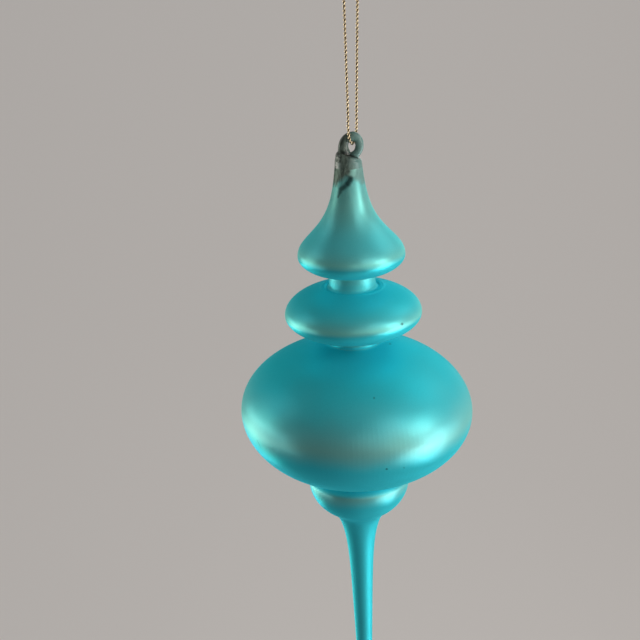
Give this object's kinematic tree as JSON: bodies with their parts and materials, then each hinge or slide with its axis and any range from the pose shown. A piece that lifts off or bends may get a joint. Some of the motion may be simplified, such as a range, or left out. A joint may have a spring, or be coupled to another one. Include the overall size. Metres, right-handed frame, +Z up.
{
  "type": "hanging icicle ornament",
  "caption": "Blown-glass icicle ornament: bell, disc, wide bulb and cup above a long tapering spike, with a fused glass eye on a loop of metallic thread.",
  "frame": {"origin": "the hang point: inside of the top of the thread loop, under its knot, where a hook or twig carries it", "axes": "+Z up along the hanging thread; +X to the right and -Y towards the viewer who faces the hole in the glass eye"},
  "size_m": [0.0802, 0.0802, 0.3396],
  "materials": {
    "thread": "twisted gold-coloured metallic thread",
    "clear_glass": "solid grey-green glass rod, fire polished",
    "satin_glass": "silvered blown glass under a satin, faintly iridescent teal lacquer"
  },
  "bodies": {
    "hanger": {"thread_knot": "thread", "thread_tails": "thread", "thread_loop": "thread"},
    "loop_foot": {"thread_foot": "thread"},
    "ornament": {"hanging_eye": "clear_glass", "top_bell": "satin_glass", "upper_collar": "satin_glass", "disc": "satin_glass", "lower_collar": "satin_glass", "main_bulb": "satin_glass", "cup": "satin_glass", "spike": "satin_glass"}
  },
  "joints": [
    {"name": "twirl", "type": "hinge", "parent": "hanger", "child": "loop_foot", "pos_m": [0, 0, -0.062], "axis": [0, 0, 1], "range_deg": [-180, 180], "stiffness_Nm_per_rad": 0.00005},
    {"name": "swing", "type": "hinge", "parent": "loop_foot", "child": "ornament", "pos_m": [0, 0, -0.07], "axis": [0, 1, 0], "range_deg": [-75, 75]}
  ]
}
